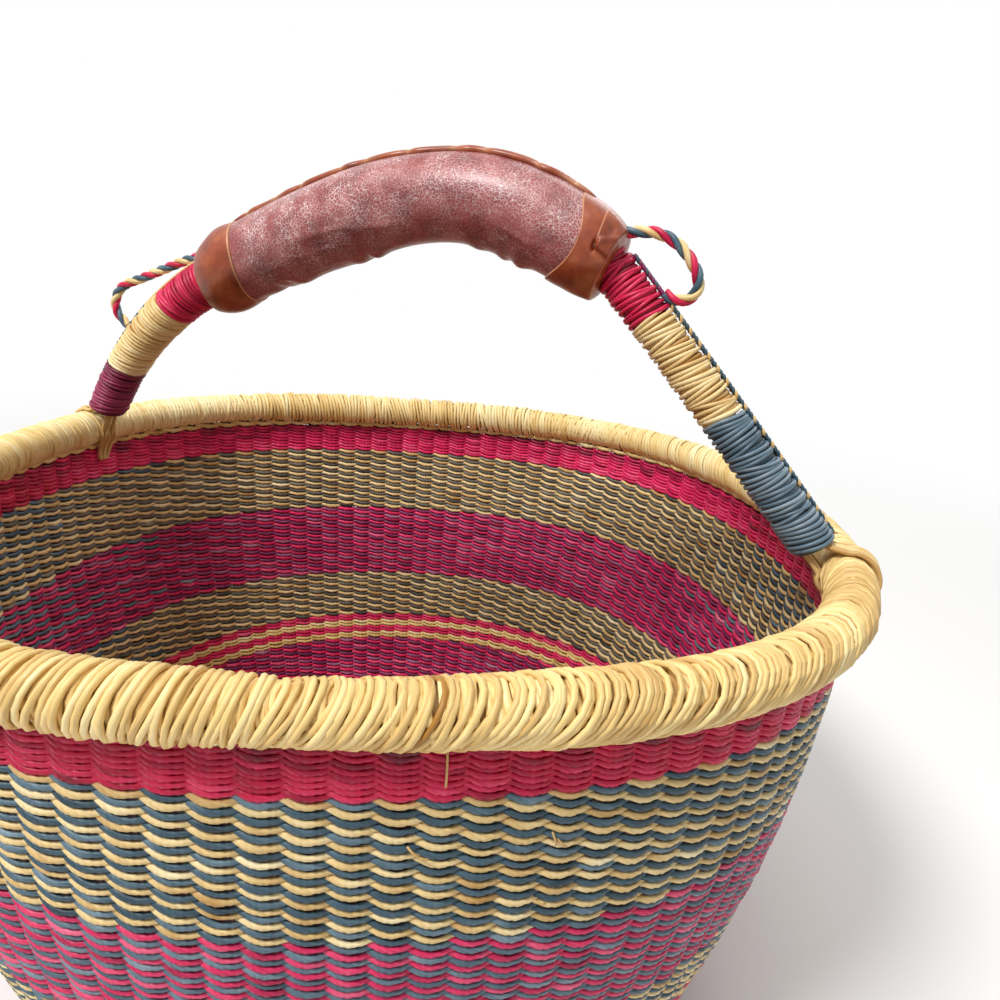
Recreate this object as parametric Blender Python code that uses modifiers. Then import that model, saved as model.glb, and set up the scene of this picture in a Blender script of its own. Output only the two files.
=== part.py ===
"""Round market basket of twined straw with a leather covered bail handle.

The body is a woven floor and a stack of coloured bands, each a closed ring that follows one wall curve and has
upright ribs where the twining passes over its stakes. A thick bound rim tops the wall. The handle is one straw bundle
from rim to rim: a crowned grip in leather, and two legs wound with coloured straw, each split at its foot into two
roots that go down on both sides of the rim.

Metres, +Z up. The origin is the middle of the flat underside, and the handle stands in the XZ plane.
"""
import math

import bmesh
import bpy
from mathutils import Matrix, Vector

# Clearances
SEAM_GAP = 0.0003
BORE_GAP = 0.0005
OVERRUN = 0.004

# Woven wall and floor
WALL = 0.004
WALL_INSET = 0.001
WALL_FLARE = 0.034
CORNER_RADIUS = 0.016
RIB_DEPTH = 0.0009

# Rim
RIM_RADIUS = 0.161
RIM_HEIGHT = 0.186
RIM_THICKNESS = 0.016
RIM_GROOVE = 0.0005
RIM_TURNS = 80

# Coloured bands from the rim down, and their shares of the wall's height; the lowest band takes the rest
band_names = ("wall_straw_top", "wall_crimson_top", "wall_grey_high", "wall_wine_high", "wall_grey_low",
              "wall_crimson_line_high", "wall_straw_line_high", "wall_crimson_line_low", "wall_straw_line_low")
band_shares = (0.017, 0.073, 0.197, 0.225, 0.146, 0.020, 0.020, 0.020, 0.020)
BAND_SPAN = 0.020

# Line of the grip: two slopes that meet in a rounded crown
GRIP_LEFT = -0.0925
GRIP_RIGHT = 0.0728
CROWN_PLACE = 0.0257
CROWN_LIFT = 0.1388
CROWN_ROUNDING = 0.0499
GRIP_SLOPE = 0.656
GRIP_LEAN = -0.127
GRIP_THICKNESS = 0.0312
GRIP_TAPER = 0.0017
WAIST_DEPTH = 0.0010
WAIST_PLACE = 0.006
WAIST_REACH = 0.020
LEATHER = 0.002
COLLAR_LENGTH = 0.020
COLLAR_LAP = 0.0006
COLLAR_END_THICKNESS = 0.024
SEAM_THICKNESS = 0.0026

# Legs, their windings and plaits
STRAW = 0.0024
LEFT_TOP_THICKNESS = 0.0180
LEFT_FOOT_THICKNESS = 0.0155
RIGHT_TOP_THICKNESS = 0.0150
RIGHT_FOOT_THICKNESS = 0.0148
LEFT_BOW = 0.0080
RIGHT_BOW = 0.0004
FOOT_INSET = 0.0045
CRIMSON_END = 0.0200
STRAW_END = 0.0595
WRAP_PITCH = 0.0031
LEG_CLEARANCE = 0.0110
SPINE_THICKNESS = 0.0032
SPINE_CLEARANCE = 0.0040
LEFT_SPINE_START = 0.0510
RIGHT_SPINE_START = 0.0245

# Roots that straddle the rim
ROOT_THICKNESS = 0.0039
ROOT_START = 0.018
ROOT_CLEARANCE = 0.0013
ROOT_DROP = 0.0125
ROOT_WALL_GAP = 0.0008
ROOT_RUN_OUT = 0.0015

# Twisted cord
CORD_THICKNESS = 0.0042

# Counts of facets
RING_STEPS = 64
BASE_RIDGES = 5
TURN_STEPS = 8
ARC_STEPS = 14
LEG_STEPS = 10
COLLAR_STEPS = 5
FOOT_STEPS = 3

# Sizes worked out from the ones above
wall_top = RIM_HEIGHT - RIM_THICKNESS / 2 - SEAM_GAP
wall_top_radius = RIM_RADIUS - WALL_INSET
grip_middle = (GRIP_LEFT + GRIP_RIGHT) / 2
grip_half = (GRIP_RIGHT - GRIP_LEFT) / 2
collar_run = COLLAR_LENGTH / math.hypot(1, GRIP_SLOPE)
sleeve_left = GRIP_LEFT + collar_run
sleeve_right = GRIP_RIGHT - collar_run
front = Vector((0, -1, 0))

for old in list(bpy.data.objects):
    bpy.data.objects.remove(old, do_unlink=True)
parts = bpy.data.collections.new("basket")
cutters = bpy.data.collections.new("cutters")
bpy.context.scene.collection.children.link(parts)
bpy.context.scene.collection.children.link(cutters)


def linear(channel):
    """One sRGB channel, 0 to 255, as linear light."""
    share = channel / 255
    return share / 12.92 if share <= 0.04045 else ((share + 0.055) / 1.055) ** 2.4


def material(name, red, green, blue, roughness):
    """A plain Principled finish of one sRGB colour."""
    finish = bpy.data.materials.new(name)
    finish.use_nodes = True
    shader = finish.node_tree.nodes["Principled BSDF"]
    shader.inputs["Base Color"].default_value = (linear(red), linear(green), linear(blue), 1)
    shader.inputs["Roughness"].default_value = roughness
    shader.inputs["Metallic"].default_value = 0
    return finish


natural = material("natural_straw", 222, 184, 116, 0.6)
crimson = material("crimson_straw", 178, 22, 62, 0.55)
wine = material("wine_straw", 118, 40, 74, 0.55)
blue_grey = material("blue_grey_straw", 62, 86, 102, 0.55)
grey_mix = material("straw_and_blue_grey", 150, 140, 108, 0.6)
glazed = material("glazed_maroon_leather", 128, 58, 50, 0.35)
tan = material("tan_leather", 156, 76, 40, 0.4)
cord_mix = material("three_colour_cord", 150, 92, 84, 0.6)


def add(name, data, finish, home=parts):
    """Puts new data into the scene as one named object."""
    data.materials.append(finish)
    thing = bpy.data.objects.new(name, data)
    home.objects.link(thing)
    return thing


def turned(name, outline, closed, finish):
    """A ring or disc turned about Z from an outline of (radius, height) that runs down its outer side."""
    mesh = bpy.data.meshes.new(name)
    count = len(outline)
    edges = [(i, i + 1) for i in range(count - 1)]
    if closed:
        edges.append((count - 1, 0))
    mesh.from_pydata([(radius, 0, height) for radius, height in outline], edges, [])
    thing = add(name, mesh, finish)
    screw = thing.modifiers.new("turn", "SCREW")
    screw.axis = "Z"
    screw.angle = 2 * math.pi
    screw.steps = RING_STEPS
    screw.render_steps = RING_STEPS
    screw.use_merge_vertices = True
    screw.merge_threshold = SEAM_GAP / 30
    return thing


def tube(name, points, radii, resolution, finish, cyclic=False, home=parts):
    """A round tube of changing radius along a chain of points, with flat ends or closed on itself."""
    curve = bpy.data.curves.new(name, "CURVE")
    curve.dimensions = "3D"
    curve.bevel_depth = 1
    curve.bevel_resolution = resolution
    curve.use_fill_caps = True
    spline = curve.splines.new("POLY")
    spline.points.add(len(points) - 1)
    spline.use_cyclic_u = cyclic
    for knot, point, radius in zip(spline.points, points, radii):
        knot.co = (*point, 1)
        knot.radius = radius
    return add(name, curve, finish, home)


def as_mesh(thing):
    """The same object as a welded mesh, for a cut."""
    graph = bpy.context.evaluated_depsgraph_get()
    mesh = bpy.data.meshes.new_from_object(thing.evaluated_get(graph))
    form = bmesh.new()
    form.from_mesh(mesh)
    bmesh.ops.remove_doubles(form, verts=form.verts, dist=SEAM_GAP / 30)
    form.to_mesh(mesh)
    form.free()
    name = thing.name
    solid = bpy.data.objects.new(name + "_solid", mesh)
    solid.matrix_world = thing.matrix_world
    thing.users_collection[0].objects.link(solid)
    bpy.data.objects.remove(thing, do_unlink=True)
    solid.name = name
    return solid


def smooth_path(knots, spans):
    """Points on a smooth curve through the knots, by Catmull and Rom's rule, with the ends repeated."""
    chain = [knots[0]] + list(knots) + [knots[-1]]
    points = []
    for a, b, c, d in zip(chain, chain[1:], chain[2:], chain[3:]):
        for step in range(spans):
            t = step / spans
            points.append(0.5 * (2 * b + (c - a) * t + (2 * a - 5 * b + 4 * c - d) * t ** 2
                                 + (3 * b - a - 3 * c + d) * t ** 3))
    points.append(Vector(knots[-1]))
    return points


# Woven floor and wall
def wall_radius(height):
    """Radius of the wall's middle surface: a parabola that stands upright at the rim and leans out at the foot."""
    return wall_top_radius - WALL_FLARE * (1 - height / wall_top) ** 2


corner_lean = math.atan(2 * WALL_FLARE / wall_top * (1 - CORNER_RADIUS / wall_top))
corner_top = WALL / 2 + CORNER_RADIUS * (1 - math.sin(corner_lean))
base_radius = wall_radius(corner_top) - CORNER_RADIUS * math.cos(corner_lean)


def ribbed(name, ridge, valley, finish):
    """A turned ring with upright ribs: its outline is the ridge's and the valley's by turns."""
    solid = as_mesh(turned(name, ridge, True, finish))
    for vertex in solid.data.vertices:
        turn = math.atan2(vertex.co.y, vertex.co.x)
        if round(turn * RING_STEPS / (2 * math.pi)) % 2:
            spot = (math.hypot(vertex.co.x, vertex.co.y), vertex.co.z)
            nearest = min(range(len(ridge)), key=lambda i: math.dist(ridge[i], spot))
            radius, height = valley[nearest]
            vertex.co = (radius * math.cos(turn), radius * math.sin(turn), height)
    return solid


def band_outline(low, high, half):
    """Outline of one band of the wall between two heights, at half a thickness each side of the middle surface."""
    spans = max(1, round((high - low) / BAND_SPAN))
    heights = [high + (low - high) * i / spans for i in range(spans + 1)]
    outer = [(wall_radius(height) + half, height) for height in heights]
    inner = [(wall_radius(height) - half, height) for height in reversed(heights)]
    return outer + inner


def foot_outline(high, half):
    """Outline of the lowest band, which turns in through the rounded corner and meets the floor's edge."""
    spans = FOOT_STEPS
    lean_angles = [corner_lean * (1 - i / spans) + math.pi / 2 * i / spans for i in range(spans + 1)]
    heights = [high + (corner_top - high) * i / spans for i in range(spans)]
    outer = [(wall_radius(height) + half, height) for height in heights]
    inner = [(wall_radius(height) - half, height) for height in heights]
    edge = base_radius + SEAM_GAP
    middle = WALL / 2 + CORNER_RADIUS
    for angle in lean_angles:
        for side, reach in ((outer, CORNER_RADIUS + half), (inner, CORNER_RADIUS - half)):
            side.append((max(edge, base_radius + reach * math.cos(angle)), middle - reach * math.sin(angle)))
    return outer + inner[::-1]


ridge_half = WALL / 2
valley_half = WALL / 2 - RIB_DEPTH
band_finishes = (natural, crimson, grey_mix, wine, grey_mix, crimson, natural, crimson, natural)
level = wall_top
for name, share, finish in zip(band_names, band_shares, band_finishes):
    height = wall_top * share
    low = level - height + SEAM_GAP
    ribbed(name, band_outline(low, level, ridge_half), band_outline(low, level, valley_half), finish)
    level -= height
ribbed("wall_wine_low", foot_outline(level, ridge_half), foot_outline(level, valley_half), wine)

# The floor's twining goes round and round: ridges on both sides, and a flat disc in the middle of the underside
floor_steps = range(2 * BASE_RIDGES + 1)
floor_top = [(base_radius * i / (2 * BASE_RIDGES), WALL - RIB_DEPTH * (i % 2)) for i in floor_steps]
floor_under = [(base_radius * i / (2 * BASE_RIDGES), RIB_DEPTH * (i % 2)) for i in reversed(floor_steps) if i > 2]
turned("base", floor_top + floor_under + [(floor_top[2][0], 0), (0, 0)], False, natural)


# Rim bound round and round with straw: each turn is a ridge between two grooves
def rim_point(index):
    angle = math.pi * index / RIM_TURNS
    return Vector((RIM_RADIUS * math.cos(angle), RIM_RADIUS * math.sin(angle), RIM_HEIGHT))


rim_radii = [RIM_THICKNESS / 2 - RIM_GROOVE * (i % 2) for i in range(2 * RIM_TURNS)]
tube("rim_binding", [rim_point(i) for i in range(2 * RIM_TURNS)], rim_radii, 2, natural, cyclic=True)


# Grip and legs
def grip_slope(place):
    """Slope of the grip's line at a place along X: a hyperbola's, between its two even slopes."""
    from_crown = place - CROWN_PLACE
    return GRIP_LEAN - GRIP_SLOPE * from_crown / math.hypot(from_crown, CROWN_ROUNDING)


def grip_point(place, offset=0):
    """A point on the grip's line by its place along X, or at an offset square to the line."""
    from_crown = place - CROWN_PLACE
    height = RIM_HEIGHT + CROWN_LIFT + GRIP_LEAN * from_crown - GRIP_SLOPE * math.hypot(from_crown, CROWN_ROUNDING)
    return Vector((place, 0, height)) + Vector((-grip_slope(place), 0, 1)).normalized() * offset


def sleeve_radius(place):
    """Outer radius of the leather: it tapers to both ends and has a waist where the hand closes."""
    waist = WAIST_DEPTH * math.exp(-((place - WAIST_PLACE) / WAIST_REACH) ** 2)
    return GRIP_THICKNESS / 2 - GRIP_TAPER * ((place - grip_middle) / grip_half) ** 2 - waist


def into_collar(place):
    """Share of the way through a collar, from the leather's end to the leg: none under the leather."""
    return min(1, max(0, (abs(place - grip_middle) - grip_half + collar_run) / collar_run))


def collar_radius(place):
    """Outer radius of a collar: laps the sleeve a little, rounds down to its outer end."""
    start = sleeve_radius(place) + COLLAR_LAP
    return start - (start - COLLAR_END_THICKNESS / 2) * into_collar(place) ** 3


def spread(first, last, steps):
    """Evenly spaced values from first to last."""
    return [first + (last - first) * i / steps for i in range(steps + 1)]


def squared(first, last, steps):
    """Evenly spaced places with a short span at each end, which turns the end face square to the line."""
    return [first, first + SEAM_GAP] + spread(first, last, steps)[1:-1] + [last - SEAM_GAP, last]


class Leg:
    """One leg, from the end of the grip down to the rim: straight or bowed outwards, and thinner at its foot."""

    def __init__(self, side, end, place, bow, thicknesses, spine_start):
        self.side = side
        self.end = end
        self.bow = bow
        self.thicknesses = thicknesses
        self.spine_start = spine_start
        self.bend = grip_point(place)
        self.rim = Vector((end * RIM_RADIUS, 0, RIM_HEIGHT))
        aim = Vector((end * (RIM_RADIUS - FOOT_INSET), 0, RIM_HEIGHT))
        self.length = (aim - self.bend).length
        self.down = (aim - self.bend).normalized()
        self.out = Vector((-end * self.down.z, 0, end * self.down.x))
        tangent = Vector((1, 0, grip_slope(place))) * end
        self.start = self.radius(0) * math.tan(tangent.angle(self.ahead(0))) + SEAM_GAP

    def radius(self, distance):
        """Outer radius of the winding at a distance down the leg."""
        top, foot = self.thicknesses
        return (top + (foot - top) * distance / self.length) / 2

    def core_radius(self, distance):
        """Radius of the straw bundle inside the winding."""
        return (self.radius(distance) - STRAW / 2) * math.cos(math.pi / TURN_STEPS) - STRAW / 2 - SEAM_GAP

    def ahead(self, distance):
        """Direction of the leg's line: a parabola's slope added to the chord."""
        bend = self.bow * 4 * (1 - 2 * distance / self.length) / self.length
        return (self.down + self.out * bend).normalized()

    def at(self, distance, offset=0, forward=0):
        """The point at a distance down the leg's line, moved outwards square to it and forward."""
        share = distance / self.length
        ahead = self.ahead(distance)
        square = Vector((-self.end * ahead.z, 0, self.end * ahead.x))
        line = self.bend + self.down * distance + self.out * self.bow * 4 * share * (1 - share)
        return line + square * offset + front * forward


left = Leg("left", -1, GRIP_LEFT, LEFT_BOW, (LEFT_TOP_THICKNESS, LEFT_FOOT_THICKNESS), LEFT_SPINE_START)
right = Leg("right", 1, GRIP_RIGHT, RIGHT_BOW, (RIGHT_TOP_THICKNESS, RIGHT_FOOT_THICKNESS), RIGHT_SPINE_START)
legs = (left, right)


def core_radius(place):
    """Radius of the straw bundle: full under the sleeve, drawn in to the leg under a collar."""
    full = sleeve_radius(place) - LEATHER - BORE_GAP
    leg = left if place < grip_middle else right
    ease = into_collar(place) ** 2 * (3 - 2 * into_collar(place))
    return full + (leg.core_radius(0) - full) * ease


left_steps = spread(left.length - ROOT_START, left.start + STRAW, LEG_STEPS)
right_steps = spread(right.start + STRAW, right.length - ROOT_START, LEG_STEPS)
core_places = spread(GRIP_LEFT, sleeve_left, COLLAR_STEPS) + spread(sleeve_left, sleeve_right, ARC_STEPS)[1:-1]
core_places += spread(sleeve_right, GRIP_RIGHT, COLLAR_STEPS)
core_points = [left.at(step) for step in left_steps] + [grip_point(place) for place in core_places]
core_points += [right.at(step) for step in right_steps]
core_radii = [left.core_radius(step) for step in left_steps] + [core_radius(place) for place in core_places]
core_radii += [right.core_radius(step) for step in right_steps]
tube("handle_core", core_points, core_radii, 2, natural)


def leather(name, first, last, outside, steps, finish):
    """A leather tube round the straw bundle, between two places of the grip."""
    places = squared(first, last, steps)
    shell = as_mesh(tube(name, [grip_point(place) for place in places], [outside(place) for place in places], 4,
                         finish))
    bore_places = [first - OVERRUN] + places[1:-1] + [last + OVERRUN]
    bore_radii = [core_radius(min(last, max(first, place))) + BORE_GAP for place in bore_places]
    bore = as_mesh(tube(name + "_bore", [grip_point(place) for place in bore_places], bore_radii, 4, finish,
                        home=cutters))
    bore.hide_render = True
    bore.display_type = "WIRE"
    cut = shell.modifiers.new("bore", "BOOLEAN")
    cut.operation = "DIFFERENCE"
    cut.solver = "EXACT"
    cut.object = bore
    return shell


leather("grip_sleeve", sleeve_left, sleeve_right, sleeve_radius, ARC_STEPS, glazed)
leather("grip_collar_left", GRIP_LEFT, sleeve_left - SEAM_GAP, collar_radius, COLLAR_STEPS, tan)
leather("grip_collar_right", sleeve_right + SEAM_GAP, GRIP_RIGHT, collar_radius, COLLAR_STEPS, tan)

seam_places = spread(sleeve_left, sleeve_right, ARC_STEPS)
seam_points = [grip_point(place, sleeve_radius(place) + SEAM_THICKNESS / 2 + SEAM_GAP) for place in seam_places]
tube("grip_seam", seam_points, [SEAM_THICKNESS / 2] * len(seam_points), 1, tan)


# Leg windings
def winding(name, leg, start, stop, finish):
    """Straw wound round the leg as one unbroken helix, and the least gap between its turns."""
    turns = round((stop - start - STRAW) / WRAP_PITCH)
    count = turns * TURN_STEPS
    points = []
    for i in range(count + 1):
        angle = 2 * math.pi * i / TURN_STEPS
        climb = start + STRAW / 2 + (stop - start - STRAW) * i / count
        reach = leg.radius(climb) - STRAW / 2
        points.append(leg.at(climb, reach * math.cos(angle), reach * math.sin(angle)))
    stand = Matrix.Translation(leg.bend) @ leg.down.to_track_quat("Z", "Y").to_matrix().to_4x4()
    helix = tube(name, [stand.inverted() @ point for point in points], [STRAW / 2] * len(points), 0, finish)
    helix.data.twist_mode = "Z_UP"
    helix.matrix_world = stand
    least = min((points[i] - points[j]).length for i in range(len(points))
                for j in range(i + TURN_STEPS // 2, len(points)))
    print(f"{name}: {turns} turns, least gap {(least - STRAW) * 1000:.2f} mm")


for leg, last_name, last_finish in ((left, "leg_wine_left", wine), (right, "leg_blue_right", blue_grey)):
    winding("leg_crimson_" + leg.side, leg, leg.start, CRIMSON_END - SEAM_GAP, crimson)
    winding("leg_straw_" + leg.side, leg, CRIMSON_END, STRAW_END - SEAM_GAP, natural)
    winding(last_name, leg, STRAW_END, leg.length - LEG_CLEARANCE, last_finish)
    spine_steps = spread(leg.spine_start, leg.length - LEG_CLEARANCE - SPINE_CLEARANCE, LEG_STEPS)
    spine_points = [leg.at(step, leg.radius(step) + SPINE_THICKNESS / 2 + SEAM_GAP) for step in spine_steps]
    tube("leg_spine_" + leg.side, spine_points, [SPINE_THICKNESS / 2] * len(spine_points), 2, blue_grey)


# Roots: the leg's bundle splits in two and goes down on both sides of the rim
root_reach = RIM_THICKNESS / 2 + ROOT_CLEARANCE + ROOT_THICKNESS / 2
root_spread = ROOT_THICKNESS / 2 + SEAM_GAP
root_run_in_shares = (0.4, 0)


def root(name, leg, side, degrees):
    """One root beside the rim: from the leg's end round the rim at a steady reach, then in to the wall."""
    points = [leg.at(leg.length - ROOT_START + SEAM_GAP, side * root_spread),
              leg.at(leg.length - LEG_CLEARANCE + ROOT_RUN_OUT, side * root_spread)]
    for turn in degrees:
        angle = math.radians(turn)
        points.append(leg.rim + Vector((leg.end * math.cos(angle), 0, math.sin(angle))) * root_reach)
    wall_face = wall_top_radius + side * (WALL / 2 + ROOT_WALL_GAP)
    for share in root_run_in_shares:
        points.append(Vector((leg.end * (wall_face + side * root_reach * share), 0, RIM_HEIGHT - ROOT_DROP)))
    tube(name, points, [ROOT_THICKNESS / 2] * len(points), 2, natural)


for leg in legs:
    root("root_outer_" + leg.side, leg, 1, (108, 82, 56, 30, 5, -20, -40))
    root("root_inner_" + leg.side, leg, -1, (178, 194, 210, 225))

# Twisted cord loops: out of the collar's side, round in the handle's plane, and back to the plait
RIGHT_LOOP = ((0.0796, 0.2853), (0.0832, 0.2858), (0.0869, 0.2859), (0.0905, 0.2854), (0.0955, 0.2841),
              (0.0991, 0.2804), (0.1004, 0.2755), (0.0995, 0.2713), (0.0975, 0.2685), (0.0942, 0.2663))
LEFT_LOOP = ((-0.0988, 0.2648), (-0.1047, 0.2630), (-0.1121, 0.2603), (-0.1203, 0.2572), (-0.1286, 0.2541),
             (-0.1360, 0.2515), (-0.1399, 0.2490), (-0.1423, 0.2447), (-0.1423, 0.2402), (-0.1408, 0.2371),
             (-0.1383, 0.2346))
for name, route in (("cord_loop_right", RIGHT_LOOP), ("cord_loop_left", LEFT_LOOP)):
    cord_points = smooth_path([Vector((x, 0, z)) for x, z in route], 2)
    tube(name, cord_points, [CORD_THICKNESS / 2] * len(cord_points), 2, cord_mix)

# The handle leans as one piece about the line through both rim crossings
pivot = bpy.data.objects.new("handle_pivot", None)
pivot.location = (0, 0, RIM_HEIGHT)
parts.objects.link(pivot)
for thing in parts.objects:
    if thing.name.startswith(("handle_core", "grip_", "leg_", "root_", "cord_")):
        thing.parent = pivot
        thing.matrix_parent_inverse = Matrix.Translation((0, 0, -RIM_HEIGHT))
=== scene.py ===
"""Twined straw market basket with a leather covered bail handle.

The pieces follow the basket as it is made: cords, stakes and twining, rim, then the handle from its leather
out to the roots that straddle the rim. Metres, +Z up, the origin in the middle of the underside, the handle
in the XZ plane.
"""
import math

import bpy
import numpy as np
from mathutils import Matrix, Vector


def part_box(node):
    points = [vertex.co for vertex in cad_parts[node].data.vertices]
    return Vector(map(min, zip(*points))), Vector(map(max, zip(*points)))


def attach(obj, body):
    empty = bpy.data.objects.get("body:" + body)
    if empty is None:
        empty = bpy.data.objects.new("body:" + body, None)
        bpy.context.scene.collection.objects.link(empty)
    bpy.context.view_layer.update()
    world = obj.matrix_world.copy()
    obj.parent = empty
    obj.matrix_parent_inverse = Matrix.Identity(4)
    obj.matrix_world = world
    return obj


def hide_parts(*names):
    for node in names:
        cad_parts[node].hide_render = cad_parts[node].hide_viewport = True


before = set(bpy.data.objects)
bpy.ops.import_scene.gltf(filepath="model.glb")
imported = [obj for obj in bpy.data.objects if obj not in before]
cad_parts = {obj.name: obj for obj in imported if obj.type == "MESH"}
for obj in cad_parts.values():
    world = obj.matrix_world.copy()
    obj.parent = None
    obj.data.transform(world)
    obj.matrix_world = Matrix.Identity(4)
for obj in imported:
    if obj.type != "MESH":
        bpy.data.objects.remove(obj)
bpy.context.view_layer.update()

# Camera: held low over the near rim. Its heading from the handle's plane, its pitch down and its roll are in
# degrees, and its field of view is a phone's main lens on a square frame.
EYE = (0.132, -0.2515, 0.272)
HEADING = 20
PITCH_DOWN = 17.3
ROLL = 4.9
camera = bpy.data.objects.new("camera", bpy.data.cameras.new("camera"))
camera.data.sensor_width = 36
camera.data.lens = 27.04
camera.data.clip_start = 0.02
stand = Matrix.Translation(EYE)
for degrees, axis in ((HEADING, "Z"), (90 - PITCH_DOWN, "X"), (ROLL, "Z")):
    stand = stand @ Matrix.Rotation(math.radians(degrees), 4, axis)
camera.matrix_world = stand
bpy.context.scene.collection.objects.link(camera)
bpy.context.scene.camera = camera
bpy.context.scene.view_settings.view_transform = "Standard"

# Cord loops: three dyed straws laid up into a twisted cord, blue-grey, crimson and natural. Each comes out of
# a leather collar, goes round in the handle's plane and is worked back into the plait of its leg. The strands
# are given as shares of the cord's diameter: how far off its middle line they lie, and their half sizes.
CORD_DIAMETER = 0.0042
CORD_LAY = 0.0145
STRAND_OFFSET = 0.25
STRAND_HIGH = 0.22
STRAND_WIDE = 0.25
cord_routes = {
    "right": ((0.0747, 0.2852), (0.0796, 0.2857), (0.0846, 0.2858), (0.0890, 0.2846), (0.0930, 0.2823),
              (0.0966, 0.2789), (0.0993, 0.2750), (0.1005, 0.2713), (0.0995, 0.2678), (0.0962, 0.2660),
              (0.0925, 0.2664), (0.0904, 0.2676)),
    "left": ((-0.0965, 0.2654), (-0.1047, 0.2630), (-0.1121, 0.2603), (-0.1203, 0.2572), (-0.1286, 0.2541),
             (-0.1360, 0.2515), (-0.1405, 0.2484), (-0.1430, 0.2437), (-0.1424, 0.2394), (-0.1392, 0.2362),
             (-0.1363, 0.2340)),
}


def smooth_path(knots, spans):
    """Catmull and Rom's curve: on each span b to c, with neighbours a and d, half of
    2b + (c - a) t + (2a - 5b + 4c - d) t^2 + (3b - a - 3c + d) t^3."""
    chain = np.vstack([knots[:1], knots, knots[-1:]])[:, None]
    a, b, c, d = chain[:-3], chain[1:-2], chain[2:-1], chain[3:]
    t = (np.arange(spans) / spans)[None, :, None]
    bend = 2 * a - 5 * b + 4 * c - d
    twist = 3 * b - a - 3 * c + d
    curve = (2 * b + (c - a) * t + bend * t ** 2 + twist * t ** 3) / 2
    return np.vstack([curve.reshape(-1, 3), knots[-1:]])


def unit(vectors):
    """Each vector over its length."""
    return vectors / np.linalg.norm(vectors, axis=-1, keepdims=True)


def ring(paths, guides, high, wide, around):
    """Points round each station of a path, on an ellipse square to the path: path + up high cos q + side wide
    sin q, where side is the path's direction crossed with the guide, and up is side crossed with that
    direction."""
    ahead = unit(np.gradient(paths, axis=-2))
    side = unit(np.cross(ahead, guides))
    up = np.cross(side, ahead)
    q = 2 * np.pi * np.arange(around) / around
    high, wide = (np.broadcast_to(size, paths.shape[:-1])[..., None, None] for size in (high, wide))
    return (paths[..., None, :] + up[..., None, :] * high * np.cos(q)[:, None]
            + side[..., None, :] * wide * np.sin(q)[:, None])


def lofted(name, rings, finish, slot, **shares):
    """A piece of closed tubes from rings of points, an array (tubes, stations, around, xyz). Each ring joins
    the next, both ends are capped, the UV map is metres along and round the tube, and each named share is kept
    as an attribute, with one value for each station or for each point."""
    tubes, stations, around = rings.shape[:3]
    index = np.arange(tubes * stations * around).reshape(tubes, stations, around)
    turned = np.roll(index, -1, axis=2)
    sides = np.stack([index[:, :-1], turned[:, :-1], turned[:, 1:], index[:, 1:]], -1)
    caps = np.concatenate([index[:, 0, ::-1], index[:, -1]])
    mesh = bpy.data.meshes.new(name)
    mesh.from_pydata(rings.reshape(-1, 3), [], sides.reshape(-1, 4).tolist() + caps.tolist())
    step = np.linalg.norm(np.diff(rings.mean(axis=2), axis=1), axis=-1)
    along = np.pad(np.cumsum(step, axis=1), ((0, 0), (1, 0)))
    girth = np.linalg.norm(rings - np.roll(rings, -1, axis=2), axis=-1).sum(axis=2).mean()
    u = np.stack([along[:, :-1], along[:, :-1], along[:, 1:], along[:, 1:]], -1)[:, :, None]
    v = (np.arange(around)[:, None] + np.array([0, 1, 1, 0])) * girth / around
    shape = (tubes, stations - 1, around, 4)
    side_uv = np.stack([np.broadcast_to(u, shape), np.broadcast_to(v, shape)], -1).reshape(-1)
    uv = np.concatenate([side_uv, np.zeros(2 * caps.size)])
    mesh.uv_layers.new(name="straw").data.foreach_set("uv", uv.astype(np.float32))
    for key, values in shares.items():
        if np.ndim(values) < 3:
            values = np.broadcast_to(np.asarray(values, float)[..., None], index.shape)
        numbers = values.astype(np.float32).reshape(-1)
        mesh.attributes.new(key, "FLOAT", "POINT").data.foreach_set("value", numbers)
    mesh.shade_smooth()
    mesh.materials.append(finish)
    piece = bpy.data.objects.new(name, mesh)
    bpy.context.scene.collection.objects.link(piece)
    return piece


def colour(code):
    """An sRGB hex colour as linear red, green, blue and alpha."""
    share = [int(code[i:i + 2], 16) / 255 for i in (1, 3, 5)]
    return [s / 12.92 if s <= 0.04045 else ((s + 0.055) / 1.055) ** 2.4 for s in share] + [1]


def node(tree, kind, sockets, **settings):
    """Adds one shader node with its settings and its inputs: a value that is a socket is linked, any other is
    set."""
    made = tree.nodes.new("ShaderNode" + kind)
    for key, value in settings.items():
        setattr(made, key, value)
    for key, value in sockets.items():
        if isinstance(value, bpy.types.NodeSocket):
            tree.links.new(value, made.inputs[key])
        else:
            made.inputs[key].default_value = value
    return made


def ramp(tree, share, stops):
    """A colour ramp from pairs of place and hex colour."""
    made = node(tree, "ValToRGB", {"Fac": share})
    band = made.color_ramp
    band.elements[0].position, band.elements[0].color = stops[0][0], colour(stops[0][1])
    band.elements[1].position, band.elements[1].color = stops[-1][0], colour(stops[-1][1])
    for place, code in stops[1:-1]:
        band.elements.new(place).color = colour(code)
    return made.outputs["Color"]


def new_material(name):
    """A material, its node tree and its shader."""
    finish = bpy.data.materials.new(name)
    finish.use_nodes = True
    return finish, finish.node_tree, finish.node_tree.nodes["Principled BSDF"]


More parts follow.
